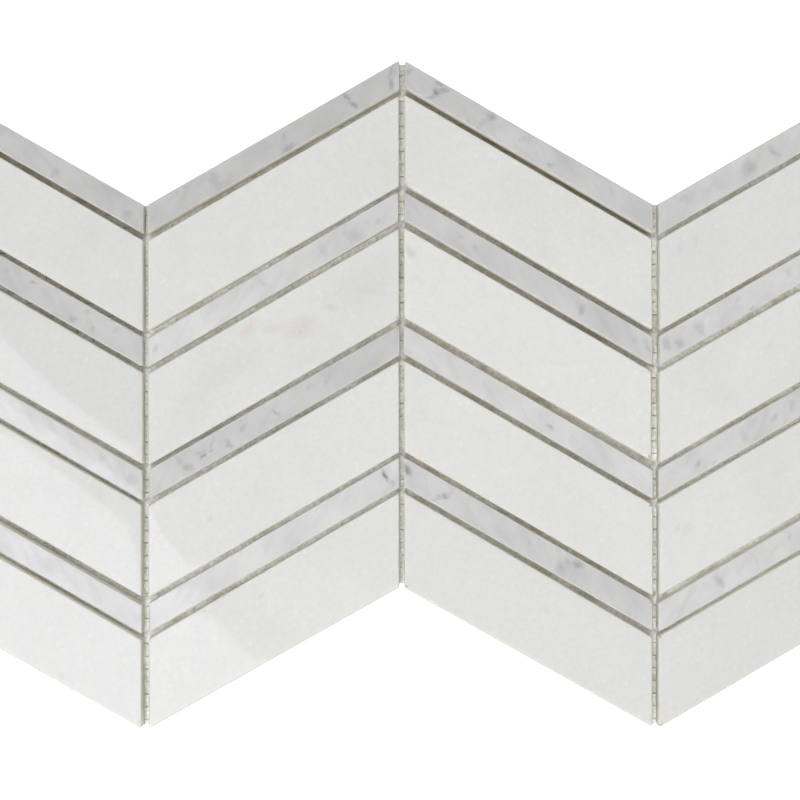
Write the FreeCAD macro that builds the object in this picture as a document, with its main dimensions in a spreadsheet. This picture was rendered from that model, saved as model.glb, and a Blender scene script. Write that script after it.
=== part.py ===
import FreeCAD, Part
import os

import Sketcher

# Sheet of chevron marble mosaic: slanted strips of two widths in four columns, on a backing net.
# Polished face up, net below. Origin under the middle of the sheet, X across the columns, Y up the pattern.

# Driving dimensions in millimetres and degrees.
drivingSizes = [
    ("columnCount", 4, "columns side by side"),
    ("courseCount", 4, "pairs of one narrow and one wide strip in a column"),
    ("columnPitch", 102, "from one vertical joint to the next, 4 inches"),
    ("verticalJoint", 2.2, "gap between two columns"),
    ("slantJoint", 2.1, "gap between two strips, square to it"),
    ("narrowWidth", 10.1, "grey strip, square to its long edges"),
    ("wideWidth", 31.6, "white strip, square to its long edges"),
    ("chevronAngle", 30, "slope of the strips"),
    ("stoneThickness", 10, "strip from back to polished face"),
    ("cornerRound", 0.8, "rounding of a strip's four upright corners"),
    ("arris", 0.4, "bevel round the polished face"),
    ("warpPitch", 6.35, "from one lengthwise yarn to the next, four to the inch"),
    ("weftPitch", 5.08, "from one cross yarn to the next, five to the inch"),
    ("yarnWidth", 0.6, "flattened yarn, across"),
    ("yarnThickness", 0.25, "flattened yarn, one layer"),
    ("netInset", 1.2, "net edge inside the outline of the stones"),
    ("warpShift", 3.175, "lengthwise yarn right of the middle of the sheet, so no yarn runs along a joint"),
    ("weftShift", 1.4, "cross yarn nearest the middle of the sheet, above it"),
]

os.makedirs("parts", exist_ok=True)
doc = FreeCAD.newDocument("chevron_wall_tile")
sheet = doc.addObject("Spreadsheet::Sheet", "sizes")
for row, (alias, value, meaning) in enumerate(drivingSizes, start=1):
    sheet.set(f"A{row}", meaning)
    sheet.set(f"B{row}", str(value))
    sheet.setAlias(f"B{row}", alias)
doc.recompute()

# Expressions that several pieces share. A slanted width, measured upright, is longer by the cosine.
stripLength = "(sizes.columnPitch - sizes.verticalJoint)"
courseWidth = "(sizes.narrowWidth + sizes.wideWidth + 2 * sizes.slantJoint)"
columnHeight = f"((sizes.courseCount * {courseWidth} - sizes.slantJoint) / cos(sizes.chevronAngle))"
pitchRise = "(sizes.columnPitch * tan(sizes.chevronAngle))"
sheetWidth = "(sizes.columnCount * sizes.columnPitch)"


def originItem(body, role):
    return next(item for item in body.Origin.OriginFeatures if item.Role == role)


def addSketch(body, name):
    sketch = body.newObject("Sketcher::SketchObject", name)
    sketch.AttachmentSupport = [(originItem(body, "XY_Plane"), "")]
    sketch.MapMode = "FlatFace"
    return sketch


def bindDistance(sketch, name, expression, *constraint):
    """Adds a dimension that follows the expression."""
    value = sheet.evalExpression(expression)
    index = sketch.addConstraint(Sketcher.Constraint(*constraint, value))
    sketch.renameConstraint(index, name)
    sketch.setExpression(f"Constraints.{name}", expression)


def drawLoop(sketch, points):
    corners = [FreeCAD.Vector(x, y, 0) for x, y in points]
    following = corners[1:] + corners[:1]
    for start, end in zip(corners, following):
        sketch.addGeometry(Part.LineSegment(start, end))
    for index in range(len(corners)):
        sketch.addConstraint(Sketcher.Constraint("Coincident", index, 2, (index + 1) % len(corners), 1))


def addPad(body, sketch, name, height):
    pad = body.newObject("PartDesign::Pad", name)
    pad.Profile = sketch
    pad.setExpression("Length", height)
    doc.recompute()
    return pad


def uprightEdges(shape):
    names = []
    for index, edge in enumerate(shape.Edges, start=1):
        step = edge.Vertexes[-1].Point - edge.Vertexes[0].Point
        if abs(step.z) > 0 and abs(step.x) + abs(step.y) < 1e-6:
            names.append(f"Edge{index}")
    return names


def topFace(shape):
    heights = [face.CenterOfMass.z for face in shape.Faces]
    return f"Face{heights.index(max(heights)) + 1}"


def addStrip(node, width, column, middle):
    """A strip of stone with upright ends. Its long edges fall to the right in odd columns, rise in even ones."""
    body = doc.addObject("PartDesign::Body", node)
    body.Label = node
    outline = addSketch(body, f"{node}_outline")
    tall = f"{width} / cos(sizes.chevronAngle)"
    climb = f"{stripLength} * tan(sizes.chevronAngle)"
    rises = column % 2 == 1
    reach = sheet.evalExpression(stripLength) / 2
    swing = sheet.evalExpression(climb) / 2 * (1 if rises else -1)
    half = sheet.evalExpression(tall) / 2
    drawLoop(outline, [
        (-reach, -swing - half),
        (reach, swing - half),
        (reach, swing + half),
        (-reach, -swing + half),
    ])
    outline.addConstraint(Sketcher.Constraint("Vertical", 1))
    outline.addConstraint(Sketcher.Constraint("Vertical", 3))
    outline.addConstraint(Sketcher.Constraint("Parallel", 0, 2))
    outline.addConstraint(Sketcher.Constraint("Symmetric", 0, 1, 1, 2, -1, 1))
    bindDistance(outline, "length", stripLength, "DistanceX", 0, 1, 0, 2)
    bindDistance(outline, "tall", tall, "DistanceY", 1, 1, 1, 2)
    lowEnd, highEnd = (1, 2) if rises else (2, 1)
    bindDistance(outline, "climb", climb, "DistanceY", 0, lowEnd, 0, highEnd)

    slab = addPad(body, outline, f"{node}_slab", "sizes.stoneThickness")
    corners = body.newObject("PartDesign::Fillet", f"{node}_corners")
    corners.Base = (slab, uprightEdges(slab.Shape))
    corners.setExpression("Radius", "sizes.cornerRound")
    doc.recompute()
    bevel = body.newObject("PartDesign::Chamfer", f"{node}_bevel")
    bevel.Base = (corners, [topFace(corners.Shape)])
    bevel.setExpression("Size", "sizes.arris")
    body.Tip = bevel
    body.setExpression("Placement.Base.x", f"({column} - (sizes.columnCount - 1) / 2) * sizes.columnPitch")
    body.setExpression("Placement.Base.y", middle)
    body.setExpression("Placement.Base.z", "2 * sizes.yarnThickness")
    return body


def addStrips():
    """Columns from the left and courses from the top. A course is a narrow strip over a wide one."""
    strips = []
    for column in range(int(sheet.columnCount)):
        for course in range(int(sheet.courseCount)):
            place = f"c{column + 1}_r{course + 1}"
            top = f"((sizes.courseCount / 2 - {course}) * {courseWidth} - sizes.slantJoint / 2)"
            narrow = f"({top} - sizes.narrowWidth / 2) / cos(sizes.chevronAngle)"
            below = f"({top} - sizes.narrowWidth - sizes.slantJoint)"
            wide = f"({below} - sizes.wideWidth / 2) / cos(sizes.chevronAngle)"
            strips.append(addStrip(f"narrow_strip_{place}", "sizes.narrowWidth", column, narrow))
            strips.append(addStrip(f"wide_strip_{place}", "sizes.wideWidth", column, wide))
    return strips


def addNetField():
    """The zigzag area that the net fills, a little inside the outline of the stones."""
    reach = f"({sheetWidth} / 2 - sizes.verticalJoint / 2 - sizes.netInset)"
    shortfall = "(sizes.verticalJoint / 2 + sizes.netInset) * tan(sizes.chevronAngle)"
    edge = f"({columnHeight} / 2 - sizes.netInset / cos(sizes.chevronAngle))"
    last = int(sheet.columnCount)
    turns = []
    for line in range(last + 1):
        across = f"({line} - sizes.columnCount / 2) * sizes.columnPitch"
        swing = f"{pitchRise} / 2"
        if line in (0, last):
            across = f"-{reach}" if line == 0 else reach
            swing = f"({pitchRise} / 2 - {shortfall})"
        turns.append((across, swing if line % 2 == 0 else f"-{swing}"))
    around = [(across, f"{swing} + {edge}") for across, swing in turns]
    around += [(across, f"{swing} - {edge}") for across, swing in reversed(turns)]

    body = doc.addObject("PartDesign::Body", "net_field")
    outline = addSketch(body, "net_field_outline")
    drawLoop(outline, [(sheet.evalExpression(x), sheet.evalExpression(y)) for x, y in around])
    for index, (x, y) in enumerate(around):
        bindDistance(outline, f"across{index}", x, "DistanceX", -1, 1, index, 1)
        bindDistance(outline, f"along{index}", y, "DistanceY", -1, 1, index, 1)
    body.Tip = addPad(body, outline, "net_field_block", "2 * sizes.yarnThickness")
    return body


def addYarns(node, field, lengthwise):
    """Side-by-side yarns of one direction, trimmed to the field; the cross yarns lie on the lengthwise ones."""
    body = doc.addObject("PartDesign::Body", f"{node}_untrimmed")
    body.AllowCompound = True
    outline = addSketch(body, f"{node}_outline")
    fieldHeight = f"({columnHeight} + {pitchRise})"
    if lengthwise:
        pitch, shift, spread, run = "sizes.warpPitch", "sizes.warpShift", sheetWidth, fieldHeight
    else:
        pitch, shift, spread, run = "sizes.weftPitch", "sizes.weftShift", fieldHeight, sheetWidth
    half = f"ceil({spread} / 2 / {pitch})"
    first = f"{shift} - {half} * {pitch} - sizes.yarnWidth / 2"
    start = f"-{run} / 2"
    left, bottom, width, height = first, start, "sizes.yarnWidth", run
    if not lengthwise:
        left, bottom, width, height = start, first, run, "sizes.yarnWidth"
    x, y, w, h = [sheet.evalExpression(size) for size in (left, bottom, width, height)]
    drawLoop(outline, [(x, y), (x + w, y), (x + w, y + h), (x, y + h)])
    for side, direction in enumerate(["Horizontal", "Vertical", "Horizontal", "Vertical"]):
        outline.addConstraint(Sketcher.Constraint(direction, side))
    bindDistance(outline, "left", left, "DistanceX", -1, 1, 0, 1)
    bindDistance(outline, "bottom", bottom, "DistanceY", -1, 1, 0, 1)
    bindDistance(outline, "width", width, "DistanceX", 0, 1, 0, 2)
    bindDistance(outline, "height", height, "DistanceY", 1, 1, 1, 2)

    yarn = addPad(body, outline, f"{node}_yarn", "sizes.yarnThickness")
    copies = body.newObject("PartDesign::LinearPattern", f"{node}_copies")
    copies.Originals = [yarn]
    copies.Direction = (originItem(body, "X_Axis" if lengthwise else "Y_Axis"), [""])
    copies.Mode = "Spacing"
    copies.setExpression("Offset", pitch)
    copies.setExpression("Occurrences", f"2 * {half} + 1")
    body.Tip = copies
    body.setExpression("Placement.Base.z", "0" if lengthwise else "sizes.yarnThickness")
    trimmed = doc.addObject("Part::Common", node)
    trimmed.Label = node
    trimmed.Base = body
    trimmed.Tool = field
    return trimmed


def writeParts(pieces):
    doc.recompute()
    for item in doc.Objects:
        if "Invalid" in item.State or "Error" in item.State:
            raise RuntimeError(f"{item.Name} failed: {item.State}")
    for piece in pieces:
        if piece.Shape.isNull() or not piece.Shape.isValid():
            raise RuntimeError(f"{piece.Label} has no valid shape")
    for piece in pieces:
        piece.Shape.exportStep(f"parts/{piece.Label}.step")
        print(f"{piece.Label}: {len(piece.Shape.Solids)} solids, {piece.Shape.Volume:.1f} mm3")


netField = addNetField()
net = [addYarns("net_warp", netField, True), addYarns("net_weft", netField, False)]
writeParts(addStrips() + net)
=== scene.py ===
import math
import random

import bpy
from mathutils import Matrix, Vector, noise


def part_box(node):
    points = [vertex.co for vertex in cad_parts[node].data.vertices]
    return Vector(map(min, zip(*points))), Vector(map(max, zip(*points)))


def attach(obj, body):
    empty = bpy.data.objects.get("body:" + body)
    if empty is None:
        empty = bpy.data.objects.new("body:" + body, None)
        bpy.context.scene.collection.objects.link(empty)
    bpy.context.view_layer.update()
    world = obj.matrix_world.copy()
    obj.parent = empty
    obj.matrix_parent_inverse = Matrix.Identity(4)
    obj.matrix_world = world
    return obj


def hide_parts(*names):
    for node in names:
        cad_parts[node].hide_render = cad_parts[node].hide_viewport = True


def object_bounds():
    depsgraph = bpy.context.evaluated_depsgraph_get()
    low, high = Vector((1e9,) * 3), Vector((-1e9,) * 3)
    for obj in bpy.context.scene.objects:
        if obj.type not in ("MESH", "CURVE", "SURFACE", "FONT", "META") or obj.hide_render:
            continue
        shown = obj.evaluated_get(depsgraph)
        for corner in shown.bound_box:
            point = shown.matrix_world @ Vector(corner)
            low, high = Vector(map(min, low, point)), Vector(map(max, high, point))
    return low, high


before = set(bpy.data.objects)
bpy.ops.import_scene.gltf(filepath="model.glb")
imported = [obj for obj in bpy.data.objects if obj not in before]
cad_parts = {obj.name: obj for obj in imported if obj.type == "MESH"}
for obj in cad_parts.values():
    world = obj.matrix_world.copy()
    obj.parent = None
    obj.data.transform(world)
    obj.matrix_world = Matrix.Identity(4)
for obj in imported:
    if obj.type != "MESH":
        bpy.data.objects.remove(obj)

# Chevron mosaic sheet, polished face up. Metres; the materials and the listed tables count in millimetres.
cadLow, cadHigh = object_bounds()
columns, courses = 4, 4
chevronAngle = math.radians(30)
chevronSlope = math.tan(chevronAngle)
toMillimetres = 1000
noiseRange = (0.3, 0.7)     # most values of a noise texture lie between these
print("frame loaded:", len(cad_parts), "solids")


# Small helpers for node trees and meshes

def addNode(tree, kind, inputs=None, **settings):
    node = tree.nodes.new(kind)
    for name, value in settings.items():
        setattr(node, name, value)
    feedAll(tree, node, inputs or {})
    return node


def feed(tree, socket, value):
    if isinstance(value, bpy.types.NodeSocket):
        tree.links.new(value, socket)
    else:
        socket.default_value = value


def feedAll(tree, node, inputs):
    for name, value in inputs.items():
        feed(tree, node.inputs[name], value)


def calculate(tree, operation, *values):
    return addNode(tree, "ShaderNodeMath", dict(enumerate(values)), operation=operation).outputs[0]


def mixColors(tree, amount, first, second):
    inputs = {0: amount, 6: first, 7: second}
    return addNode(tree, "ShaderNodeMix", inputs, data_type="RGBA").outputs[2]


def mixNumbers(tree, amount, first, second):
    return addNode(tree, "ShaderNodeMix", {0: amount, 2: first, 3: second}).outputs[0]


def scaleVector(tree, vector, factor):
    inputs = {0: vector, "Scale": factor}
    return addNode(tree, "ShaderNodeVectorMath", inputs, operation="SCALE").outputs[0]


def combineVectors(tree, operation, first, second):
    return addNode(tree, "ShaderNodeVectorMath", {0: first, 1: second}, operation=operation).outputs[0]


def remap(tree, value, low, high, newLow=0.0, newHigh=1.0, smooth=True):
    inputs = {"Value": value, "From Min": low, "From Max": high, "To Min": newLow, "To Max": newHigh}
    kind = "SMOOTHSTEP" if smooth else "LINEAR"
    return addNode(tree, "ShaderNodeMapRange", inputs, interpolation_type=kind).outputs["Result"]


def addBump(tree, surface, height, strength, distance):
    bump = addNode(tree, "ShaderNodeBump", {"Height": height, "Strength": strength, "Distance": distance})
    feed(tree, surface.inputs["Normal"], bump.outputs[0])


def cloud(tree, place, size, detail=3.0, roughness=0.5, distortion=0.0):
    # noise between 0 and 1 with blotches about size millimetres across
    inputs = {"Vector": place, "Scale": 1 / size, "Detail": detail,
              "Roughness": roughness, "Distortion": distortion}
    return addNode(tree, "ShaderNodeTexNoise", inputs).outputs["Fac"]


def newMaterial(name):
    material = bpy.data.materials.new(name)
    material.use_nodes = True
    tree = material.node_tree
    tree.nodes.clear()
    surface = addNode(tree, "ShaderNodeBsdfPrincipled")
    addNode(tree, "ShaderNodeOutputMaterial", {"Surface": surface.outputs[0]})
    return material, tree, surface


def localPlace(tree, seed, farthest=400):
    # millimetres from the piece's own middle, and the same moved to its own patch of the noise
    coords = addNode(tree, "ShaderNodeTexCoord").outputs["Object"]
    local = scaleVector(tree, coords, toMillimetres)
    rng = random.Random(seed)
    offset = [rng.uniform(-farthest, farthest) for _ in range(3)]
    return local, combineVectors(tree, "ADD", local, offset)


def stripAxes(tree, place, rises):
    # along runs from the left end to the right, across is measured upright from the middle line
    parts = addNode(tree, "ShaderNodeSeparateXYZ", {0: place})
    along = parts.outputs["X"]
    lean = calculate(tree, "MULTIPLY", along, chevronSlope if rises else -chevronSlope)
    across = calculate(tree, "SUBTRACT", parts.outputs["Y"], lean)
    return along, across


def tubeFaces(base, rings, count):
    # a closed tube of rings, each with the same count of points, whose first point is number base
    faces = []
    for ring in range(rings - 1):
        for index in range(count):
            a, b = base + ring * count + index, base + ring * count + (index + 1) % count
            faces.append((a, b, b + count, a + count))
    faces.append(tuple(reversed(range(base, base + count))))
    faces.append(tuple(range(base + (rings - 1) * count, base + rings * count)))
    return faces


def newPiece(name, vertices, faces, material, nodeName=None, place=(0, 0, 0)):
    # a piece of the sheet, which stands for the CAD node if one is named
    mesh = bpy.data.meshes.new(name)
    mesh.from_pydata(vertices, [], faces)
    mesh.polygons.foreach_set("use_smooth", [True] * len(faces))
    mesh.materials.append(material)
    piece = bpy.data.objects.new(name, mesh)
    bpy.context.scene.collection.objects.link(piece)
    piece.location = place
    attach(piece, "root")
    if nodeName:
        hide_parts(nodeName)
    return piece


# Marble. Every strip has its own cut of stone.

whiteMarble = {
    "color": (0.722, 0.727, 0.690, 1),
    "shadeColor": (0.702, 0.708, 0.668, 1),
    "warmColor": (0.718, 0.710, 0.674, 1),
    "rustColor": (0.640, 0.560, 0.520, 1),
    "greenColor": (0.500, 0.520, 0.480, 1),
    "shadeSize": 45,
    "shadeRange": (0.42, 0.72),     # noise levels between which the shade comes in
    "warmSize": 70,
    "warmRange": (0.52, 0.75),
    "warmest": 0.6,
    "mottleSize": 2.2,
    "mottle": 0.014,
    "glow": 1.0,                    # share of the light that goes into the stone and comes out again
    "glowDepth": 0.0022,
    "glowRadius": (1.0, 0.82, 0.62),
    "polish": 0.03,
    "dustiness": 0.8,
}

greyMarble = {
    "pale": (0.716, 0.720, 0.698, 1),
    "deep": (0.490, 0.493, 0.475, 1),
    "markColor": (0.270, 0.272, 0.272, 1),
    "fadeReach": 46,                # a strip's two ends differ in paleness, and fade into each other
    "driftSize": 16,
    "drift": 0.12,
    "streak": 0.10,
    "streakSize": 5.5,
    "streakRange": (0.44, 0.70),
    "streakLean": (0.7, -0.55),     # in the columns that fall and in those that rise
    "streakSquash": 0.65,
    "mottleSize": 1.4,
    "mottle": 0.015,
    "glow": 0.9,
    "glowDepth": 0.0018,
    "glowRadius": (1.0, 0.86, 0.70),
    "polish": 0.03,
    "dustiness": 0.68,
}

crystals = {
    "size": 1.1,
    "shade": (0.988, 1.012),
    # painted glint: the crystals that are painted brighter, and by how much
    "glintRange": (0.93, 0.97),        # only the last few crystals of a hundred flash
    "paintedGlint": 0.035,
}

# facing is the upward part of the normal, which tells the polished face, its eased edge and the side apart
sawnSides = {
    "facing": (0.45, 0.15),
    "dust": (0.96, 0.94, 0.855, 1),
    # painted shade on the eased edge: its darker colour, and how much of it is mixed in
    "easedShadeColor": (0.54, 0.53, 0.47, 1),
    "easedShade": 0.55,
    "roughness": 0.6,
    "sawLineSpacing": 0.35,
    "sawLineStretch": (1, 1, 0.06),
    "sawLineDepth": 0.6,
}

polishedFace = {
    "facing": (0.999, 0.9998),
    "ior": 1.5,
    "satinSize": 3,
    "satin": (0.8, 1.25),
    "swellSize": 22,
    "swell": 0.4,
    "poreSize": 0.9,
    "pores": 0.0016,
    "relief": 0.00012,
}

# A mark is a soft smudge along a line, as (start, end, width, strength), in millimetres along the strip and
# upright across it from its middle. Noise bends and breaks all marks a little.
markShape = {
    "bendSize": 3.2,
    "bend": (3.6, 3.6, 0),
    "length": 0.66,
    "breadth": 0.85,
    "softness": (0.1, 1.1),
    "breakSize": 1.6,
    "breakRange": (0.3, 0.6),
    "breaks": (0.72, 1.1),
}

# paleness at the left and the right end, then the dark marks; columns from the left, courses down
greyStrips = {
    (1, 1): (0.25, 0.2, [((17, 1), (13, -4), 1.6, 0.3), ((47, 1.5), (41, -4.5), 1.8, 0.25)]),
    (1, 2): (0.4, 0.4, [
        ((8, 3.5), (5.5, 2), 1.3, 0.5), ((29, 4.5), (27, 2.5), 1.2, 0.35),
        ((24, -1), (20, -4.5), 1.6, 0.45), ((31, -0.5), (28.5, -4), 1.2, 0.35),
        ((-2, 3.5), (-6, 0), 1.5, 0.2), ((41, 4), (38, 1), 1.5, 0.2),
    ]),
    (1, 3): (1.0, 0.75, [((48, 2), (43, -3), 3, 0.2), ((35, 3), (32, 0), 2, 0.15)]),
    (1, 4): (0.75, 0.75, [((15, 3), (10, -3), 3, 0.1)]),
    (2, 1): (0.25, 0.2, [
        ((28.5, 5), (31, 0), 1.3, 0.6), ((31, 0.5), (34, -4.5), 1.5, 0.7),
        ((48, 5), (46.8, 0), 1.8, 0.35), ((46.8, 0), (48, -5), 1.6, 0.55),
        ((3.5, -3.5), (9.5, -5), 2.6, 0.5), ((4.2, 3.5), (5, -1), 1.2, 0.3),
        ((-25.5, 5), (-21, -5), 2.6, 0.25), ((-38.5, 4.5), (-37.5, 2.5), 1.4, 0.25),
        ((-35.5, 5), (-34, 3.5), 1.2, 0.25),
    ]),
    (2, 2): (0.8, 0.6, [
        ((-48, 0.8), (-46, -1.5), 2.2, 0.3), ((-6, 3), (0, -3), 1.2, 0.15),
        ((18.5, 4), (21.5, -4), 2, 0.2), ((29, 3), (36, -5), 3, 0.22),
        ((37, 2.5), (38.5, 0.5), 1.2, 0.25), ((41.5, 0), (42.5, -2), 1.8, 0.22),
    ]),
    (2, 3): (0.5, 0.3, [
        ((-28.8, -0.8), (-27, -1.6), 1.8, 0.75), ((-26, -0.6), (-23.8, -1.2), 1.1, 0.5),
        ((-24, 3.5), (-24.6, 0), 1, 0.3), ((-38.5, 4.5), (-36, 0), 1.6, 0.25),
        ((-36, 0), (-32, -5), 2, 0.4), ((-19, 0), (-16, -5), 1.6, 0.4), ((-0.5, 1.5), (3.2, -3), 1, 0.45),
        ((-12.5, 2), (-11, 0), 2.5, 0.3), ((13, 3.5), (16, 0), 2, 0.2), ((21, 1), (22.5, -1), 1.6, 0.2),
        ((-31, 2), (-27, 0), 1.5, 0.3),
    ]),
    (2, 4): (0.85, 0.75, [((43, 5), (46.2, -0.8), 1.4, 0.95), ((46, -0.5), (48.5, -4.5), 1.6, 0.25)]),
    (3, 1): (0.4, 0.4, [
        ((-31.5, 5), (-36, 0.5), 1.6, 0.55), ((-35.5, 1.5), (-37.5, -1), 1.7, 0.8),
        ((-37, -0.5), (-40.5, -4.5), 1.2, 0.5), ((-37, 4.5), (-34, 4.8), 1.8, 0.6),
        ((-46, 4.5), (-49.5, 0), 1.6, 0.4), ((-13, 5), (-16.2, 2), 1.8, 0.6),
        ((-16, 2), (-20, -4), 1.6, 0.22), ((10.5, -0.5), (8, -3.8), 1.1, 0.4),
        ((2, 4), (-4, 0), 1.2, 0.2), ((-23.5, -3.5), (-24, -5), 1, 0.3),
        ((-19.5, -4), (-20, -5), 0.9, 0.3), ((33, 4), (33, -3), 1.5, 0.15),
    ]),
    (3, 2): (0.45, 0.45, [
        ((-26.5, 2.5), (-28, -0.3), 1.8, 0.3), ((-21, 1.5), (-22, -0.5), 1.6, 0.25),
        ((22.3, 2.5), (20, -2.8), 1.4, 0.35), ((46.5, 3.5), (48.5, -3), 2, 0.25),
        ((43, 3), (41.5, -2), 1.6, 0.12),
    ]),
    (3, 3): (0.75, 0.75, [
        ((7, -0.5), (10, -1.5), 1.7, 0.45), ((4, 1.5), (6, 0.5), 1.2, 0.2), ((38, 3.5), (39, 1), 1, 0.12),
    ]),
    (3, 4): (0.55, 0.5, [
        ((-51, 4), (-47.5, 0.5), 3.2, 0.8), ((-32.5, 1), (-34.8, -0.6), 1.4, 0.65),
        ((-31, 3), (-38.5, -4.5), 1.6, 0.35), ((22, 5), (16.5, 1.5), 2.4, 0.6),
        ((17, 2.5), (13.5, 1), 2.8, 0.35), ((13, 1.5), (12.6, -5), 3, 0.38), ((25, 2), (12, -2), 6, 0.15),
        ((0.5, 2), (-0.5, 0), 1.5, 0.25),
    ]),
    (4, 1): (0.55, 0.5, [
        ((-16, 3), (-12, -4), 4, 0.33), ((-6, 3.5), (-1.5, -4), 1.4, 0.35),
        ((-29, 4), (-22, -5), 3, 0.15), ((-41.5, 4), (-38.5, 0), 2, 0.2),
    ]),
    (4, 2): (0.72, 0.68, [
        ((-48, 3.5), (-45.5, -2), 2.6, 0.35), ((-43.5, 1), (-40.5, -4.5), 3, 0.38),
        ((-36, 4), (-32, -4.5), 2.2, 0.28), ((-19.5, 3), (-18, 1), 2, 0.18),
        ((-13.5, -3.5), (-12, -5), 1.4, 0.35), ((0, 3.5), (3, -1), 1.6, 0.25),
    ]),
    (4, 3): (0.65, 0.55, [
        ((-35.5, -0.5), (-33.5, -1.2), 2.2, 0.38), ((-18, 3.5), (-14.5, -4), 1.8, 0.2),
        ((-28.5, -3.5), (-27, -5), 1.5, 0.2), ((-4.8, 0.5), (-3.3, -1.5), 2.4, 0.28),
        ((2, 2.5), (4, -1.5), 2, 0.22),
    ]),
    (4, 4): (0.75, 0.6, [
        ((-28.5, 4), (-24, -3.5), 1.6, 0.38), ((-12.5, 3), (-11, -3), 1.4, 0.12),
        ((1, 4), (2, 0), 1.2, 0.2), ((-20, 4), (-17, -4), 1.5, 0.1),
    ]),
}

# the white strips that aren't plain: how much paler or darker, rusty marks, grey-green marks
whiteStrips = {
    (1, 1): (-0.035, [], []),
    (1, 2): (-0.055, [], []),
    (1, 3): (-0.015, [], []),
    (1, 4): (-0.01, [], [((15, -15.5), (19, -15.5), 2.5, 0.25)]),
    (2, 1): (-0.02, [], []),
    (2, 2): (-0.015, [((-12, 14.5), (-7.5, 10.5), 5, 0.42), ((-5, 10), (5, 4), 3, 0.3),
                     ((5, 4.5), (17, -2), 7.5, 0.42), ((32, 3.5), (47, -6), 1.6, 0.15)],
             [((19, 4.5), (27, -0.5), 2, 0.3), ((-38, 1), (0, 1), 9, 0.1), ((22, 13), (50, -4), 14, 0.15)]),
    (2, 3): (0.0, [], [((-25.6, -1), (-24.4, -1), 1.6, 0.3)]),
    (2, 4): (0.01, [((-30.8, 9.3), (-30.2, 9.3), 1.0, 0.4)], [((-6, 9), (-4, 9), 2, 0.25)]),
    (3, 2): (0.02, [], [((-49, 12), (-45, 8), 3.5, 0.45)]),
    (3, 3): (0.01, [], []),
    (3, 4): (-0.01, [], [((6, 4), (8, 4), 1.6, 0.25)]),
    (4, 1): (-0.02, [], [((-42, 13), (-41, 6), 2, 0.15), ((-36, 13), (-35, 6), 2, 0.15)]),
    (4, 2): (0.0, [], [((-8, 3.5), (-4, 3.5), 3, 0.15)]),
    (4, 3): (0.0, [], [((-44.5, 5), (-41.5, 5), 2, 0.25), ((-41, 2), (-37, 2), 4, 0.15)]),
    (4, 4): (-0.02, [], []),
}


def smudges(tree, place, axes, marks):
    # all the marks of one kind as one mask
    along, across = axes
    flat = addNode(tree, "ShaderNodeCombineXYZ", {"X": along, "Y": across}).outputs[0]
    inputs = {"Vector": place, "Scale": 1 / markShape["bendSize"], "Detail": 2.5, "Roughness": 0.6}
    bend = addNode(tree, "ShaderNodeTexNoise", inputs).outputs["Color"]
    bend = combineVectors(tree, "SUBTRACT", bend, (0.5, 0.5, 0.5))
    bend = combineVectors(tree, "MULTIPLY", bend, markShape["bend"])
    bent = combineVectors(tree, "ADD", flat, bend)
    total = None
    for start, end, width, strength in marks:
        middle = ((start[0] + end[0]) / 2, (start[1] + end[1]) / 2, 0)
        turn = math.atan2(end[1] - start[1], end[0] - start[0])
        breadth = width * markShape["breadth"]
        length = max(math.dist(start, end) * markShape["length"], breadth)
        inputs = {"Vector": bent, "Location": middle, "Rotation": (0, 0, turn),
                  "Scale": (length, breadth, 1)}
        fitted = addNode(tree, "ShaderNodeMapping", inputs, vector_type="TEXTURE").outputs[0]
        distance = addNode(tree, "ShaderNodeVectorMath", {0: fitted}, operation="LENGTH").outputs["Value"]
        mask = remap(tree, distance, *markShape["softness"], strength, 0)
        total = mask if total is None else calculate(tree, "MAXIMUM", total, mask)
    breaks = cloud(tree, place, markShape["breakSize"], detail=2.0, roughness=0.6)
    breaks = remap(tree, breaks, *markShape["breakRange"], *markShape["breaks"])
    return calculate(tree, "MULTIPLY", total, breaks)


def finishStone(tree, surface, color, place, look):
    # polished on top, pale with dust where it is sawn, and with a painted shade on the eased edge between the
    # two
    normal = addNode(tree, "ShaderNodeNewGeometry").outputs["Normal"]
    facing = addNode(tree, "ShaderNodeSeparateXYZ", {0: normal}).outputs["Z"]
    polished = remap(tree, facing, *polishedFace["facing"])
    sawn = remap(tree, facing, *sawnSides["facing"])
    notPolished = calculate(tree, "SUBTRACT", 1, polished)
    eased = calculate(tree, "MULTIPLY", notPolished, calculate(tree, "SUBTRACT", 1, sawn))
    # the eased edge is painted darker here; this is painted shade, not wear
    worn = calculate(tree, "MULTIPLY", eased, sawnSides["easedShade"])
    color = mixColors(tree, worn, color, sawnSides["easedShadeColor"])
    dusty = calculate(tree, "MULTIPLY", sawn, look["dustiness"])
    satin = cloud(tree, place, polishedFace["satinSize"], detail=2.0)
    satin = remap(tree, satin, *noiseRange, *(look["polish"] * share for share in polishedFace["satin"]))
    feedAll(tree, surface, {
        "Base Color": mixColors(tree, dusty, color, sawnSides["dust"]),
        "Roughness": mixNumbers(tree, polished, sawnSides["roughness"], satin),
        "IOR": polishedFace["ior"],
        "Subsurface Weight": look["glow"],
        "Subsurface Scale": look["glowDepth"],
        "Subsurface Radius": look["glowRadius"],
    })

    # polishing leaves a very slight swell, the saw leaves upright lines
    swell = cloud(tree, place, polishedFace["swellSize"], detail=2.0, roughness=0.4)
    pores = cloud(tree, place, polishedFace["poreSize"], detail=2.0, roughness=0.6)
    swell = calculate(tree, "MULTIPLY", swell, polishedFace["swell"])
    face = calculate(tree, "MULTIPLY_ADD", pores, polishedFace["pores"], swell)
    upright = combineVectors(tree, "MULTIPLY", place, sawnSides["sawLineStretch"])
    sawLines = cloud(tree, upright, sawnSides["sawLineSpacing"], detail=2.0)
    side = calculate(tree, "MULTIPLY", sawLines, sawnSides["sawLineDepth"])
    addBump(tree, surface, mixNumbers(tree, polished, side, face), 1.0, polishedFace["relief"])


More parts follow.
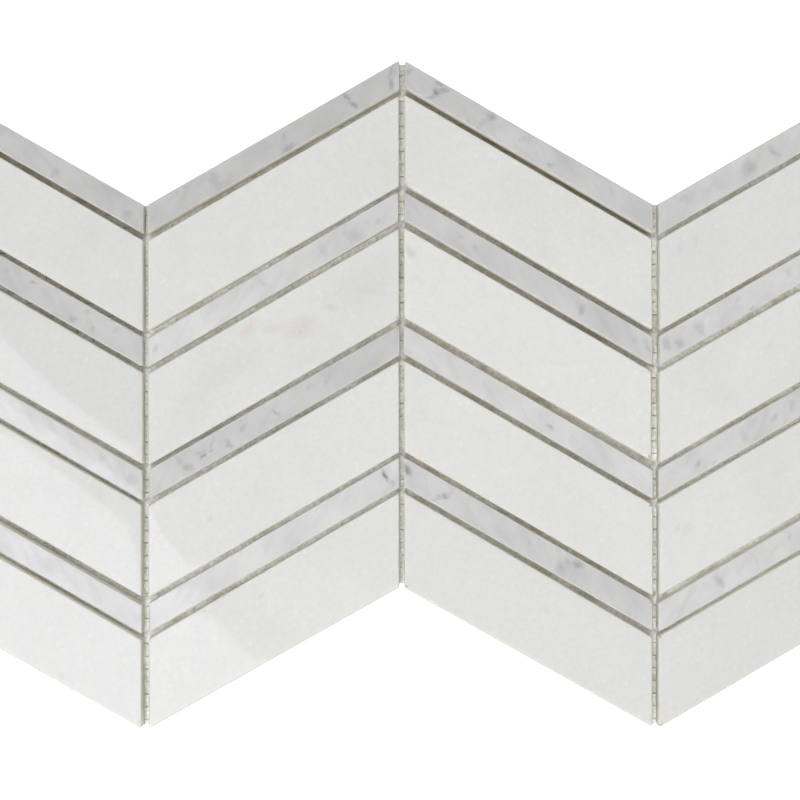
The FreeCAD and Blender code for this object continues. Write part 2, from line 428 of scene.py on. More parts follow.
def grains(tree, place):
    # coarse crystals, each a little paler or darker, and now and then one painted brighter as a painted glint
    cells = addNode(tree, "ShaderNodeTexVoronoi", {"Vector": place, "Scale": 1 / crystals["size"]})
    parts = addNode(tree, "ShaderNodeSeparateColor", {0: cells.outputs["Color"]})
    shade = remap(tree, parts.outputs[0], 0, 1, *crystals["shade"], smooth=False)
    # painted glint on a few crystals
    paintedGlint = remap(tree, parts.outputs[1], *crystals["glintRange"], 0, crystals["paintedGlint"])
    return calculate(tree, "ADD", shade, paintedGlint)


def whiteMarbleMaterial(name, rises, seed, tone, rusty, greenish):
    material, tree, surface = newMaterial(name)
    look = whiteMarble
    local, place = localPlace(tree, seed)
    axes = stripAxes(tree, local, rises)
    shade = cloud(tree, place, look["shadeSize"], detail=4.0, roughness=0.55, distortion=0.6)
    color = mixColors(tree, remap(tree, shade, *look["shadeRange"]), look["color"], look["shadeColor"])
    warmth = cloud(tree, place, look["warmSize"], distortion=0.4)
    warmth = remap(tree, warmth, *look["warmRange"], 0, look["warmest"])
    color = mixColors(tree, warmth, color, look["warmColor"])
    for marks, markColor in ((rusty, look["rustColor"]), (greenish, look["greenColor"])):
        if marks:
            color = mixColors(tree, smudges(tree, place, axes, marks), color, markColor)
    mottle = cloud(tree, place, look["mottleSize"], roughness=0.6)
    mottle = remap(tree, mottle, *noiseRange, 1 - look["mottle"] + tone, 1 + look["mottle"] + tone)
    level = calculate(tree, "MULTIPLY", mottle, grains(tree, place))
    finishStone(tree, surface, scaleVector(tree, color, level), place, look)
    return material


def greyMarbleMaterial(name, rises, seed, leftPaleness, rightPaleness, marks):
    material, tree, surface = newMaterial(name)
    look = greyMarble
    local, place = localPlace(tree, seed)
    along, across = stripAxes(tree, local, rises)
    reach = look["fadeReach"]
    paleness = remap(tree, along, -reach, reach, leftPaleness, rightPaleness)
    drift = cloud(tree, place, look["driftSize"], distortion=0.3)
    drift = remap(tree, drift, *noiseRange, -look["drift"], look["drift"])
    color = mixColors(tree, calculate(tree, "ADD", paleness, drift), look["deep"], look["pale"])
    # clouds drawn out along one slant
    lean = calculate(tree, "MULTIPLY_ADD", across, look["streakLean"][rises], along)
    squashed = calculate(tree, "MULTIPLY", across, look["streakSquash"])
    inputs = {"X": lean, "Y": squashed, "Z": seed * 7.0}
    drawnOut = addNode(tree, "ShaderNodeCombineXYZ", inputs).outputs[0]
    streak = cloud(tree, drawnOut, look["streakSize"], detail=2.0, roughness=0.45, distortion=0.4)
    streak = remap(tree, streak, *look["streakRange"], 0, look["streak"])
    color = mixColors(tree, streak, color, look["markColor"])
    color = mixColors(tree, smudges(tree, place, (along, across), marks), color, look["markColor"])
    mottle = cloud(tree, place, look["mottleSize"], roughness=0.6)
    mottle = remap(tree, mottle, *noiseRange, 1 - look["mottle"], 1 + look["mottle"])
    finishStone(tree, surface, scaleVector(tree, color, mottle), place, look)
    return material


# Stones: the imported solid's outline, with an eased arris that wanders and chips a little

stoneShape = {
    "step": 0.0009,
    "acuteCorner": 0.0006,
    "obtuseCorner": 0.0003,
    "leastCorner": 0.00003,
    "cornerSteps": 6,
    "footBevel": 0.00015,
    # rings up the side: (share of the height, share of the edge's wear)
    "sideRings": [(0.35, 0.1), (0.7, 0.2)],
    "arris": 0.0004,
    # rings round the arris: (distance in, depth below the face), both in arrises, and the share of the wear
    "arrisRings": [(0.0, 1.2, 0.3), (0.18, 0.62, 0.7), (0.52, 0.25, 0.9)],
    "rimDrop": 0.000034,
    "wander": 0.00008,
    "wanderScale": 260,
    "chipChance": 0.012,
    "chipDepth": 0.00040,
    "chipSizes": (0.2, 1.0),
    "chipReaches": [1, 1, 2],   # points of the edge to each side
    "chipRaggedness": (0.6, 1.0),
    "wornDown": 0.9,            # a worn spot goes down nearly as far as it goes in
    "wornFrom": 0.00006,        # depths below the face between which the wear also goes down
    "wornTo": 0.0016,
    "tilt": 0.0014,
    # polishing leaves a face very slightly pillowed: (distance from the edge, drop)
    "pillow": {
        "narrow": [(0.00055, 0.000030), (0.0015, 0.000019), (0.0030, 0.000009), (0.0044, 0.0)],
        "wide": [(0.00055, 0.000030), (0.0015, 0.000019), (0.0030, 0.000009), (0.0050, 0.000003),
                 (0.0080, 0.0)],
    },
    "layingReach": 0.031,       # the laying table is read this far left and right of a strip's middle
    "footTolerance": 0.00001,
}

# strips that lean to the lower left, or away from it, by this slope; the rest tilt at random
leaning = {
    "wide_strip_c1_r2": 0.0077,
    "narrow_strip_c1_r3": 0.0026,
    "wide_strip_c1_r3": -0.0006,
    "wide_strip_c2_r3": 0.0016,
    "narrow_strip_c2_r4": 0.0,
    "wide_strip_c2_r4": -0.0016,
}

# hand-laid strips sit a little out of line; narrow then wide, each in millimetres outward:
# upper side left and right, lower side left and right, left end, right end
laying = {
    (1, 1): ((-0.15, 0.05, -0.35, -0.2, 0.0, 0.5), (0.5, 0.2, -0.1, 0.1, 0.0, 0.3)),
    (1, 2): ((0.35, 0.25, -0.15, 0.05, 0.0, 0.05), (0.25, 0.15, 0.05, 0.15, 0.0, 0.05)),
    (1, 3): ((0.15, -0.05, 0.1, 0.5, 0.0, -0.1), (0.0, 0.0, 0.25, 0.25, 0.0, -0.5)),
    (1, 4): ((-0.6, -0.8, 0.65, 0.85, 0.0, -0.4), (-0.45, -0.65, 0.7, 0.15, 0.0, -0.6)),
    (2, 1): ((-0.15, -0.5, 0.0, 0.45, 0.1, 0.8), (-0.25, -0.35, -0.05, 0.15, 0.0, 0.6)),
    (2, 2): ((-0.05, 0.25, 0.15, 0.0, 0.1, 0.3), (-0.25, -0.3, 0.4, 0.3, 0.1, 0.5)),
    (2, 3): ((0.1, -0.15, 0.3, 0.55, -0.3, 0.7), (0.0, -0.15, 0.2, 0.25, 0.15, 0.4)),
    (2, 4): ((0.05, 0.2, 0.25, 0.25, -0.2, 0.4), (-0.1, 0.1, -0.05, 0.9, 0.0, 0.3)),
    (3, 1): ((-0.15, -0.45, -0.45, 0.2, -0.7, -0.1), (0.3, -0.15, -0.55, 0.05, -0.5, -0.5)),
    (3, 2): ((0.35, -0.1, -0.45, 0.1, -0.4, -0.4), (0.2, -0.1, -0.6, -0.3, -0.15, -0.9)),
    (3, 3): ((0.1, -0.35, -0.15, 0.35, 0.05, -0.3), (0.1, -0.2, -0.15, 0.2, -0.1, -0.45)),
    (3, 4): ((0.35, 0.1, -0.05, 0.25, 0.0, -0.6), (0.15, -0.25, 0.85, 0.15, 0.0, -0.8)),
    (4, 1): ((-0.1, -0.2, 0.75, 0.95, 0.15, 0.0), (-0.35, -0.55, 0.3, 0.55, 0.0, 0.0)),
    (4, 2): ((0.2, 0.15, 0.0, 0.05, 0.0, 0.0), (-0.05, -0.2, 0.1, 0.2, 0.15, 0.0)),
    (4, 3): ((0.25, 0.0, 0.05, 0.15, 0.4, 0.0), (0.45, 0.25, -0.25, -0.45, 0.3, 0.0)),
    (4, 4): ((0.15, 0.5, 0.05, -0.2, 0.6, 0.0), (0.65, 0.85, -0.6, -0.95, 0.7, 0.0)),
}
# where each side's numbers stand in a strip's row
upperSide, lowerSide, leftSide, rightSide = slice(0, 2), slice(2, 4), 4, 5


def layingOf(nodeName):
    kind, _, column, course = nodeName.split("_")
    values = laying[(int(column[1:]), int(course[1:]))][kind == "wide"]
    return [value / toMillimetres for value in values]


def isSlanted(direction):
    # a strip's sides either follow the chevron or stand upright
    return abs(direction.x) > 0.5


def laidSides(nodeName):
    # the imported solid's sides, moved to where the hand-laid strip's sides are
    sides, middle, height = straightSides(nodeName)
    outward = layingOf(nodeName)
    reach = stoneShape["layingReach"]
    moved = []
    for start, direction, inward in sides:
        if isSlanted(direction):
            atLeft, atRight = outward[lowerSide] if direction.x > 0 else outward[upperSide]
            left = start + direction * ((-reach - start.x) / direction.x) - inward * atLeft
            right = start + direction * ((reach - start.x) / direction.x) - inward * atRight
            first, second = (left, right) if direction.x > 0 else (right, left)
            heading = (second - first).normalized()
            moved.append((first, heading, Vector((-heading.y, heading.x))))
        else:
            shift = outward[rightSide] if direction.y > 0 else outward[leftSide]
            moved.append((start - inward * shift, direction, inward))
    return moved, middle, height


def straightSides(nodeName):
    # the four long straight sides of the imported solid's foot, walked round to the left, each as
    # (point, direction, inward)
    low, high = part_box(nodeName)
    middle = (low + high) / 2
    foot = {(round(v.co.x, 6), round(v.co.y, 6))
            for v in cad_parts[nodeName].data.vertices if v.co.z < low.z + stoneShape["footTolerance"]}
    foot = sorted(foot, key=lambda p: math.atan2(p[1] - middle.y, p[0] - middle.x))
    spans = sorted(zip(foot, foot[1:] + foot[:1]), key=lambda span: -math.dist(*span))[:4]
    spans.sort(key=lambda span: foot.index(span[0]))
    sides = []
    for start, end in spans:
        start, end = Vector(start) - middle.xy, Vector(end) - middle.xy
        direction = (end - start).normalized()
        sides.append((start, direction, Vector((-direction.y, direction.x))))
    return sides, middle, high.z - low.z


def meet(first, second, inset):
    # where two sides cross once both are moved inward
    start, direction, inward = first
    other, heading, otherInward = second
    start, other = start + inward * inset, other + otherInward * inset
    gap = other - start
    share = (gap.x * heading.y - gap.y * heading.x) / (direction.x * heading.y - direction.y * heading.x)
    return start + direction * share


def stoneRing(sides, inset):
    # outline moved inward; every ring has the same count of points, so rings join up one to one
    shape = stoneShape
    corners = []
    for index, side in enumerate(sides):
        following = sides[(index + 1) % 4]
        corner = shape["obtuseCorner"] if side[1].dot(following[1]) > 0 else shape["acuteCorner"]
        radius = max(corner - inset, shape["leastCorner"])
        centre = meet(side, following, inset + radius)
        first = math.atan2(-side[2].y, -side[2].x)
        turn = (math.atan2(-following[2].y, -following[2].x) - first) % (2 * math.pi)
        arc = []
        for step in range(shape["cornerSteps"] + 1):
            angle = first + turn * step / shape["cornerSteps"]
            outward = Vector((math.cos(angle), math.sin(angle)))
            arc.append((centre + outward * radius, -outward))
        corners.append(arc)
    ring = []
    for index, side in enumerate(sides):
        start, end = corners[index - 1][-1][0], corners[index][0][0]
        reach = meet(side, sides[(index + 1) % 4], 0) - meet(sides[index - 1], side, 0)
        steps = max(2, round(reach.length / shape["step"]))
        ring += [(start.lerp(end, step / steps), side[2]) for step in range(1, steps)]
        ring += corners[index]
    return ring


def edgeWear(points, seed):
    # how much more than the plain bevel is gone at each point of the edge
    shape = stoneShape
    rng = random.Random(seed)
    scale = shape["wanderScale"]
    wear = [0.5 + 0.5 * noise.noise(Vector((p.x * scale, p.y * scale, seed * 3.1))) for p in points]
    wear = [value * shape["wander"] for value in wear]
    for index in range(len(points)):
        if rng.random() < shape["chipChance"]:
            depth = shape["chipDepth"] * rng.uniform(*shape["chipSizes"]) ** 2
            reach = rng.choice(shape["chipReaches"])
            for near in range(-reach, reach + 1):
                share = 1 - abs(near) / (reach + 1)
                wear[(index + near) % len(points)] += depth * share * rng.uniform(*shape["chipRaggedness"])
    return wear


def makeStone(pieceName, nodeName, material, seed):
    shape = stoneShape
    sides, middle, height = laidSides(nodeName)
    outline = [point for point, _ in stoneRing(sides, 0)]
    wear = edgeWear(outline, seed)
    rng = random.Random(seed + 500)
    tiltUp, tiltAlong = (rng.uniform(-1, 1) * shape["tilt"] for _ in range(2))
    if nodeName in leaning:
        tiltUp = tiltAlong = leaning[nodeName]
    arris = shape["arris"]
    pillow = shape["pillow"][nodeName.split("_")[0]]
    # (inset, height, share of the wear that reaches this ring)
    rings = [(shape["footBevel"], 0.0, 0.0), (0.0, shape["footBevel"], 0.0)]
    rings += [(0.0, height * up, share) for up, share in shape["sideRings"]]
    rings += [(arris * into, height - arris * depth, share) for into, depth, share in shape["arrisRings"]]
    rings.append((arris, height - shape["rimDrop"], 1.0))
    rings += [(inset, height - sunk, 1.0 if index == 0 else 0.0)
              for index, (inset, sunk) in enumerate(pillow)]
    # tilting only lowers a stone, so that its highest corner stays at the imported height
    drop = max(point.y * tiltUp + point.x * tiltAlong for point in outline)
    vertices = []
    for inset, level, share in rings:
        down = shape["wornDown"] if shape["wornTo"] > height - level > shape["wornFrom"] else 0
        for (point, inward), worn in zip(stoneRing(sides, inset), wear):
            spot = point + inward * worn * share
            lift = (spot.y * tiltUp + spot.x * tiltAlong - drop) * (level / height)
            vertices.append((spot.x, spot.y, level - height / 2 + lift - worn * share * down))
    faces = tubeFaces(0, len(rings), len(outline))
    newPiece(pieceName, vertices, faces, material, nodeName, middle)


plainWhite = (0.0, [], [])
for column in range(1, columns + 1):
    rises = column % 2 == 0
    for course in range(1, courses + 1):
        place = f"c{column}_r{course}"
        whiteSeed = column * 10 + course
        greySeed = whiteSeed + 100
        grey = greyMarbleMaterial(f"grey_marble_{place}", rises, greySeed, *greyStrips[(column, course)])
        makeStone(f"grey_stone_{place}", f"narrow_strip_{place}", grey, greySeed)
        marked = whiteStrips.get((column, course), plainWhite)
        white = whiteMarbleMaterial(f"white_marble_{place}", rises, whiteSeed, *marked)
        makeStone(f"white_stone_{place}", f"wide_strip_{place}", white, whiteSeed)
print("stones made:", 2 * columns * courses)


# Backing net: flat yarns woven over and under each other, stiff with coating

netYarn = {
    "color": (0.52, 0.49, 0.40, 1),
    "dirtColor": (0.31, 0.28, 0.21, 1),
    "dirtSize": 6,
    "dirtRange": (0.35, 0.7),
    "fibreSize": 0.12,
    "fibreShade": 0.15,
    "fibreRelief": 0.00006,
    "roughness": 0.45,
    "sides": 6,
    "stepsPerMesh": 4,
    "sway": 0.00012,
    "swayScale": (60, 900),     # along a yarn, and from yarn to yarn
    "seed": 77,
}


def netMaterial():
    material, tree, surface = newMaterial("coated_glass_yarn")
    look = netYarn
    _, place = localPlace(tree, look["seed"])
    dirt = remap(tree, cloud(tree, place, look["dirtSize"]), *look["dirtRange"])
    color = mixColors(tree, dirt, look["color"], look["dirtColor"])
    fibres = cloud(tree, place, look["fibreSize"], detail=2.0, roughness=0.6)
    level = remap(tree, fibres, *noiseRange, 1 - look["fibreShade"], 1 + look["fibreShade"])
    feedAll(tree, surface, {"Base Color": scaleVector(tree, color, level), "Roughness": look["roughness"]})
    addBump(tree, surface, fibres, 0.6, look["fibreRelief"])
    return material


def yarnRuns(nodeName, lengthwise):
    # one (centre, start, end, width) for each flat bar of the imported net; bars are told apart by their edges
    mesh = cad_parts[nodeName].data
    across, run = (0, 1) if lengthwise else (1, 0)
    parent = list(range(len(mesh.vertices)))

    def root(index):
        while parent[index] != index:
            parent[index] = parent[parent[index]]
            index = parent[index]
        return index

    spots = {}
    for vertex in mesh.vertices:
        key = tuple(round(c, 6) for c in vertex.co)
        parent[vertex.index] = spots.setdefault(key, vertex.index)
    for edge in mesh.edges:
        parent[root(edge.vertices[0])] = root(edge.vertices[1])
    bars = {}
    for vertex in mesh.vertices:
        bars.setdefault(root(vertex.index), []).append(vertex.co)
    runs = []
    for corners in bars.values():
        low = [min(c[axis] for c in corners) for axis in range(2)]
        high = [max(c[axis] for c in corners) for axis in range(2)]
        runs.append(((low[across] + high[across]) / 2, low[run], high[run], high[across] - low[across]))
    return sorted(runs)


def yarnRows(runs):
    return sorted({round(centre, 5) for centre, *_ in runs})


def firstAndPitch(nodeName, lengthwise):
    rows = yarnRows(yarnRuns(nodeName, lengthwise))
    return rows[0], (rows[-1] - rows[0]) / (len(rows) - 1)


def weave(pieceName, nodeName, lengthwise, crossings, material):
    # crossings are the first and the pitch of the yarns that these pass over and under
    runs = yarnRuns(nodeName, lengthwise)
    rows = yarnRows(runs)
    first, pitch = crossings
    low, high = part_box("net_warp")[0].z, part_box("net_weft")[1].z
    middle, swing = (low + high) / 2, (high - low) / 4
    sides = netYarn["sides"]
    thickness = swing / math.cos(math.pi / sides)
    alongScale, betweenScale = netYarn["swayScale"]
    vertices, faces = [], []
    for centre, start, end, width in runs:
        row = rows.index(round(centre, 5))
        sign = 1 if lengthwise else -1
        steps = max(2, round((end - start) / pitch * netYarn["stepsPerMesh"]))
        base = len(vertices)
        for step in range(steps + 1):
            run = start + (end - start) * step / steps
            wave = math.cos(math.pi * ((run - first) / pitch + row)) * sign
            level = middle + swing * wave
            spot = Vector((run * alongScale, centre * betweenScale, 4.0 if lengthwise else 9.0))
            sway = netYarn["sway"] * noise.noise(spot)
            for side in range(sides):
                turn = 2 * math.pi * (side + 0.5) / sides
                out = centre + sway + math.cos(turn) * width / 2
                up = max(low, level + math.sin(turn) * thickness)
                vertices.append((out, run, up) if lengthwise else (run, out, up))
        tube = tubeFaces(base, steps + 1, sides)
        faces += [tuple(reversed(face)) for face in tube] if lengthwise else tube
    newPiece(pieceName, vertices, faces, material, nodeName)


yarnMaterial = netMaterial()
weave("lengthwise_yarns", "net_warp", True, firstAndPitch("net_weft", False), yarnMaterial)
weave("cross_yarns", "net_weft", False, firstAndPitch("net_warp", True), yarnMaterial)
print("net woven")


# Glue that has run into the joints: a thin uneven film between the stones, with pale lumps at the crossings

jointGlue = {
    "color": (0.88, 0.88, 0.82, 1),
    "lumpColor": (0.67, 0.655, 0.625, 1),
    "lumpRange": (0.1, 0.7),
    "oliveColor": (0.50, 0.47, 0.33, 1),
    "oliveSize": 14,
    "oliveRange": (0.42, 0.68),
    "olive": 0.55,
    "brownColor": (0.45, 0.34, 0.20, 1),
    "brownSize": 5,
    "brownRange": (0.60, 0.74),
    "brown": 0.45,
    # how much brown the painted shade adds
    "paintedShadeBrown": 0.5,
    "mottleSize": 1.4,
    "mottle": (0.82, 1.12),
    "gritSize": 0.7,
    "grit": 0.0001,
    "roughness": 0.38,
    "seed": 91,
    "step": 0.0008,
    # points across a joint, from the right-hand wall to the left-hand one
    "shares": [-1.0, -0.86, -0.55, -0.15, 0.25, 0.6, 0.88, 1.0],
    "underside": 0.00002,
    "leastFilm": 0.00005,
    "thinFilm": 0.00055,        # towards the crossings no film is thicker than this
    "ripple": 0.00017,
    "rippleScale": 420,
    "creep": 0.00045,           # how far it creeps up the walls
    "creepScale": 160,
    "creepPower": 6,            # the higher, the closer it keeps to the wall
    "lumpHeight": 0.0004,
    "lumpReach": 0.0018,
    "lumpFarthest": 0.008,      # a crossing farther than this from a line leaves it alone
    "lumpSizes": (0.5, 1.1),
    "lumpSeed": 5,
    "largestLump": 1.2,
    "thinFrom": 0.0015,         # more glue than usual starts this far from a joint's end, and is whole
    "thinOver": 0.004,          # after this length
    "tuck": 0.00012,            # how far the film reaches into the stones
    "overlap": 0.001,           # how far a slanted joint's film runs on into the upright joints
    # how far the film stops inside the outline at the sides, the top tip, the lower tips and the notches
    "sideEnd": 0.0011,
    "topTip": 0.0008,
    "lowerTip": 0.0007,
    "notch": -0.0002,
}

# slanted joints of each column, from the top: (film in millimetres, painted shade, which makes the glue darker
# and browner where the joint lies in shade)
slantedGlue = {
    1: [(0.4, 0.4), (0.4, 0.1), (0.4, 0.05), (1.4, 0), (1.2, 0), (0.5, 0.05), (1.4, 0)],
    2: [(0.5, 0.3), (1.5, 0), (0.5, 0.1), (0.55, 0), (1.2, 0), (2.2, 0), (1.9, 0)],
    3: [(0.4, 0.7), (0.5, 0.15), (0.5, 0.15), (1.1, 0.15), (1.6, 0.1), (2.3, 0.05), (2.0, 0.1)],
    4: [(1.2, 0), (2.0, 0), (1.4, 0), (2.2, 0), (2.4, 0), (2.5, 0), (3.6, 0)],
}

# upright joints, by the column on their left: millimetres more up the right-hand and the left-hand wall,
# then the film in millimetres and the painted shade at each course, here below 0, which paints the glue
# lighter
uprightGlue = {
    1: (0.0, 1.2, (0.36, 0.34, 0.2, 0.2), (-0.8, -0.5, -0.1, 0.0)),
    2: (0.5, 0.5, (0.28, 0.28, 0.35, 0.34), (-0.2, -0.2, -0.6, -0.3)),
    3: (2.0, 0.0, (0.2, 0.2, 0.22, 0.25), (0.0, -0.2, -0.2, -0.2)),
}


def glueMaterial():
    material, tree, surface = newMaterial("dried_glue")
    look = jointGlue
    _, place = localPlace(tree, look["seed"])
    lump = addNode(tree, "ShaderNodeAttribute", attribute_name="lump").outputs["Fac"]
    # painted shade, set per joint: more olive and brown where a joint lies in shade, and below 0 less of them,
    # which paints it lighter
    paintedShade = addNode(tree, "ShaderNodeAttribute", attribute_name="paintedShade").outputs["Fac"]
    olive = cloud(tree, place, look["oliveSize"], roughness=0.55)
    olive = remap(tree, olive, *look["oliveRange"], 0, look["olive"])
    color = mixColors(tree, calculate(tree, "ADD", olive, paintedShade), look["color"], look["oliveColor"])
    brown = cloud(tree, place, look["brownSize"], detail=4.0, roughness=0.6)
    brown = remap(tree, brown, *look["brownRange"], 0, look["brown"])
    brown = calculate(tree, "MULTIPLY_ADD", paintedShade, look["paintedShadeBrown"], brown)
    color = mixColors(tree, brown, color, look["brownColor"])
    color = mixColors(tree, remap(tree, lump, *look["lumpRange"]), color, look["lumpColor"])
    mottle = remap(tree, cloud(tree, place, look["mottleSize"], detail=2.5), *noiseRange, *look["mottle"])
    feedAll(tree, surface, {"Base Color": scaleVector(tree, color, mottle), "Roughness": look["roughness"]})
    addBump(tree, surface, cloud(tree, place, look["gritSize"], roughness=0.6), 0.8, look["grit"])
    return material


def uprightSpan(nodeName):
    # foot and head of a strip on its column's middle line
    sides, middle, _ = straightSides(nodeName)
    heights = [middle.y + point.y - point.x * direction.y / direction.x
               for point, direction, _ in sides if isSlanted(direction)]
    return min(heights), max(heights)


def slantedLines():
    # glue between the strips of a column, as straight lines of (start, end, films, walls, creeps, painted
    # shades), and the points where lines cross; walls are the distances from a line to the stones on its right
    # and left hand, each at the start and at the end
    glue = jointGlue
    lines, crossings = [], []
    for column in range(1, columns + 1):
        slope = chevronSlope if column % 2 == 0 else -chevronSlope
        stack = [f"{kind}_strip_c{column}_r{course}" for course in range(1, courses + 1)
                 for kind in ("narrow", "wide")]
        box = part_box(stack[0])
        centre, reach = (box[0].x + box[1].x) / 2, (box[1].x - box[0].x) / 2
        stretch = reach / stoneShape["layingReach"]
        for upper, lower, (filled, paintedShade) in zip(stack, stack[1:], slantedGlue[column]):
            head, foot = uprightSpan(upper)[0], uprightSpan(lower)[1]
            level, half = (head + foot) / 2, (head - foot) / 2 * math.cos(chevronAngle)
            outer = reach + glue["overlap"]
            left = outer if column > 1 else reach - glue["sideEnd"]
            right = outer if column < columns else reach - glue["sideEnd"]
            walls = []
            for first, second in (layingOf(lower)[upperSide], layingOf(upper)[lowerSide]):
                middle, swing = (first + second) / 2, (second - first) / 2 * stretch
                walls.append((half - middle + swing, half - middle - swing))
            lines.append((Vector((centre - left, level - left * slope)),
                          Vector((centre + right, level + right * slope)), [filled / toMillimetres], walls,
                          (glue["creep"],) * 2, [paintedShade]))
            crossings += [Vector((centre - outer, level - outer * slope)),
                          Vector((centre + outer, level + outer * slope))]
    return lines, crossings


def uprightLines():
    # the joints between the columns, from the foot up, in the same form
    glue = jointGlue
    lines = []
    for column in range(1, columns):
        here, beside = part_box(f"wide_strip_c{column}_r1"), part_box(f"wide_strip_c{column + 1}_r1")
        line, half = (here[1].x + beside[0].x) / 2, (beside[0].x - here[1].x) / 2
        reach = (here[1].x - here[0].x) / 2
        swing = reach * chevronSlope * (1 if column % 2 == 0 else -1)
        foot = uprightSpan(f"wide_strip_c{column}_r{courses}")[0]
        head = uprightSpan(f"narrow_strip_c{column}_r1")[1]
        rightMore, leftMore, films, paintedShades = uprightGlue[column]
        creeps = (glue["creep"] + rightMore / toMillimetres, glue["creep"] + leftMore / toMillimetres)
        if column % 2 == 0:
            lowerEnd, upperEnd = glue["notch"], glue["topTip"]
        else:
            lowerEnd, upperEnd = glue["lowerTip"], glue["notch"]
        walls = []
        for neighbour, side in ((column + 1, leftSide), (column, rightSide)):
            pairs = [laying[(neighbour, course)] for course in range(1, courses + 1)]
            farthestBack = min(values[side] for pair in pairs for values in pair)
            walls.append((half - farthestBack / toMillimetres,) * 2)
        lines.append((Vector((line, foot + swing + lowerEnd)), Vector((line, head + swing - upperEnd)),
                      [film / toMillimetres for film in films[::-1]], walls, creeps, paintedShades[::-1]))
    return lines


def makeGlue():
    glue = jointGlue
    lines, crossings = slantedLines()
    lines += uprightLines()
    rng = random.Random(glue["lumpSeed"])
    sizes = [rng.uniform(*glue["lumpSizes"]) for _ in crossings]
    vertices, faces, lumps, paintedShading = [], [], [], []
    width = len(glue["shares"]) + 2     # points in a ring, with the two under the film
    ripples, climbs = glue["rippleScale"], glue["creepScale"]
    for number, (start, end, films, walls, creeps, paintedShades) in enumerate(lines):
        direction = (end - start).normalized()
        side = Vector((-direction.y, direction.x))
        steps = round((end - start).length / glue["step"])
        near = [(spot, size) for spot, size in zip(crossings, sizes)
                if abs((spot - start).dot(side)) < glue["lumpFarthest"]]
        base = len(vertices)
        for step in range(steps + 1):
            along = start.lerp(end, step / steps)
            rightWall, leftWall = (glue["tuck"] + wall[0] + (wall[1] - wall[0]) * step / steps
                                   for wall in walls)
            middle, outer = (leftWall - rightWall) / 2, (leftWall + rightWall) / 2
            part = min(len(paintedShades) * step // steps, len(paintedShades) - 1)
            # each course of a line has its own film and painted shade
            film, paintedShade = films[part], paintedShades[part]
            # more glue than usual thins out again towards the crossings
            fromEnd = min(step, steps - step) * glue["step"]
            inner = min(max(fromEnd - glue["thinFrom"], 0) / glue["thinOver"], 1)
            filled = min(film, glue["thinFilm"])
            filled += (film - filled) * inner * inner * (3 - 2 * inner)
            for share in glue["shares"]:
                spot = along + side * (middle + outer * share)
                ripple = noise.noise(Vector((spot.x * ripples, spot.y * ripples, number * 1.7)))
                climb = 0.5 + noise.noise(Vector((spot.x * climbs, spot.y * climbs, 3.3)))
                creep = creeps[share > 0] * climb * abs(share) ** glue["creepPower"]
                lump = sum(size * math.exp(-((spot - centre).length / glue["lumpReach"]) ** 2)
                           for centre, size in near)
                lump = min(lump, glue["largestLump"])
                level = filled + glue["ripple"] * ripple + creep + lump * glue["lumpHeight"]
                vertices.append((spot.x, spot.y, max(level, glue["leastFilm"])))
                lumps.append(lump)
                paintedShading.append(paintedShade)
            for offset in (leftWall, -rightWall):
                spot = along + side * offset
                vertices.append((spot.x, spot.y, glue["underside"]))
                lumps.append(0.0)
                paintedShading.append(paintedShade)
        for step in range(steps):
            for index in range(width):
                a, b = base + step * width + index, base + step * width + (index + 1) % width
                faces.append((a, a + width, b + width, b))
        first = [base + index for index in range(width)]
        last = [base + steps * width + index for index in range(width)]
        faces += [tuple(first), tuple(reversed(last))]
    film = newPiece("joint_glue", vertices, faces, glueMaterial())
    for name, values in (("lump", lumps), ("paintedShade", paintedShading)):
        film.data.attributes.new(name, "FLOAT", "POINT").data.foreach_set("value", values)


makeGlue()
print("glue in the joints")


# Studio: white table, large softbox over the lower left, soft panels round it, camera straight above

studio = {
    "tableSize": 8.0,
    "tableColor": (0.82, 0.82, 0.81, 1),
    "tableRoughness": 0.9,
    "tableLift": 0.75,                  # makes the table white to the camera and adds no light to the object
    "roomLight": 0.04,
    "roomMirror": 0.3,
    "softboxRadiance": 1.74,
    "softboxColor": (0.98, 0.96, 1.15),
    "softboxSize": (2.4, 1.4),
    "softboxHeight": 2.5,
    "softboxEdge": (-0.378, -0.171),    # middle of its near edge
    "softboxTurn": -45.0,
    # soft panels round the table: (x, y, turn, radiance)
    "panelSize": (1.0, 1.2),
    "panelHeight": 3.1,
    "panels": {
        "lower_panel": (-0.25, -1.25, 0.0, 18.6),
        "lower_left_panel": (-1.39, -0.80, -60.0, 3.0),
        "upper_left_panel": (-1.30, 0.75, -120.0, 5.5),
        "upper_right_panel": (1.30, 0.75, 120.0, 6.2),
    },
    "cameraHeight": 1.0,
    "cameraReach": 20,
    "frameWidth": 0.3191,
    "aim": (-0.0004, -0.0022),
    "roll": -0.13,
}


def seenRays(tree):
    # 1 where the camera sees a thing, also through or in the object, and 0 where it only lights the object
    rays = addNode(tree, "ShaderNodeLightPath")
    seen = calculate(tree, "MAXIMUM", rays.outputs["Is Camera Ray"], rays.outputs["Is Glossy Ray"])
    return rays, calculate(tree, "MAXIMUM", seen, rays.outputs["Is Transmission Ray"])


def makeTable():
    mesh = bpy.data.meshes.new("table")
    half = studio["tableSize"] / 2
    corners = [(-half, -half, 0), (half, -half, 0), (half, half, 0), (-half, half, 0)]
    mesh.from_pydata(corners, [], [(0, 1, 2, 3)])
    table = bpy.data.objects.new("table", mesh)
    bpy.context.scene.collection.objects.link(table)
    material, tree, surface = newMaterial("white_table")
    _, seen = seenRays(tree)
    feedAll(tree, surface, {
        "Base Color": studio["tableColor"],
        "Roughness": studio["tableRoughness"],
        "Specular IOR Level": 0.0,
        "Emission Color": (1, 1, 1, 1),
        "Emission Strength": calculate(tree, "MULTIPLY", seen, studio["tableLift"]),
    })
    mesh.materials.append(material)


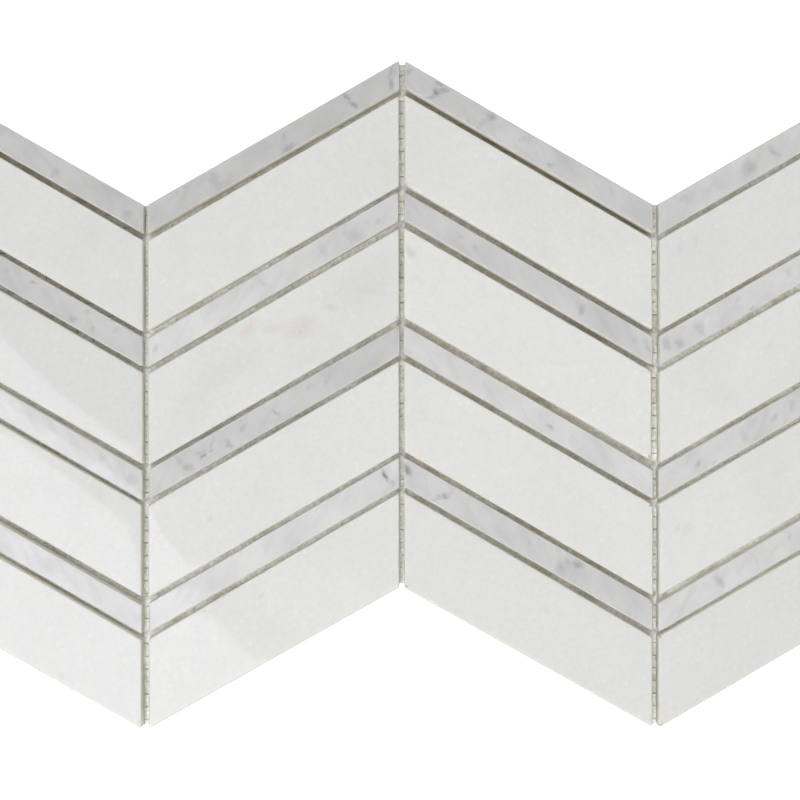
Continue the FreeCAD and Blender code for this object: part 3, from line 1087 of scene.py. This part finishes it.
def makeRoom():
    world = bpy.data.worlds.new("white_room")
    bpy.context.scene.world = world
    world.use_nodes = True
    tree = world.node_tree
    tree.nodes.clear()
    rays, seen = seenRays(tree)
    # white behind the object, dimmer in the polish, and only a little light of its own
    strength = mixNumbers(tree, seen, studio["roomLight"], 1.0)
    strength = mixNumbers(tree, rays.outputs["Is Glossy Ray"], strength, studio["roomMirror"])
    sky = addNode(tree, "ShaderNodeBackground", {"Color": (1, 1, 1, 1), "Strength": strength})
    addNode(tree, "ShaderNodeOutputWorld", {"Surface": sky.outputs[0]})


def makePanel(name, middle, size, turn, radiance, color=(1, 1, 1)):
    light = bpy.data.lights.new(name, "AREA")
    light.shape = "RECTANGLE"
    light.size, light.size_y = size
    light.color = color
    light.energy = radiance * math.pi * size[0] * size[1]     # watts that give this radiance
    lamp = bpy.data.objects.new(name, light)
    bpy.context.scene.collection.objects.link(lamp)
    lamp.location = middle
    lamp.rotation_euler = (0, 0, turn)


def makeLights():
    # the softbox reaches away from its near edge to the lower left
    turn = math.radians(studio["softboxTurn"])
    size = studio["softboxSize"]
    middle = Vector(studio["softboxEdge"]) + Vector((math.sin(turn), -math.cos(turn))) * size[1] / 2
    makePanel("softbox", (*middle, studio["softboxHeight"]), size, turn, studio["softboxRadiance"],
              studio["softboxColor"])
    for name, (x, y, panelTurn, radiance) in studio["panels"].items():
        middle = (x, y, studio["panelHeight"])
        makePanel(name, middle, studio["panelSize"], math.radians(panelTurn), radiance)


def makeCamera():
    data = bpy.data.cameras.new("camera")
    data.lens = data.sensor_width * studio["cameraHeight"] / studio["frameWidth"]
    data.clip_end = studio["cameraReach"]
    camera = bpy.data.objects.new("camera", data)
    bpy.context.scene.collection.objects.link(camera)
    camera.location = (*studio["aim"], cadHigh.z + studio["cameraHeight"])
    camera.rotation_euler = (0, 0, math.radians(studio["roll"]))
    bpy.context.scene.camera = camera


makeTable()
makeRoom()
makeLights()
makeCamera()
bpy.context.scene.view_settings.view_transform = "Standard"
print("studio ready")
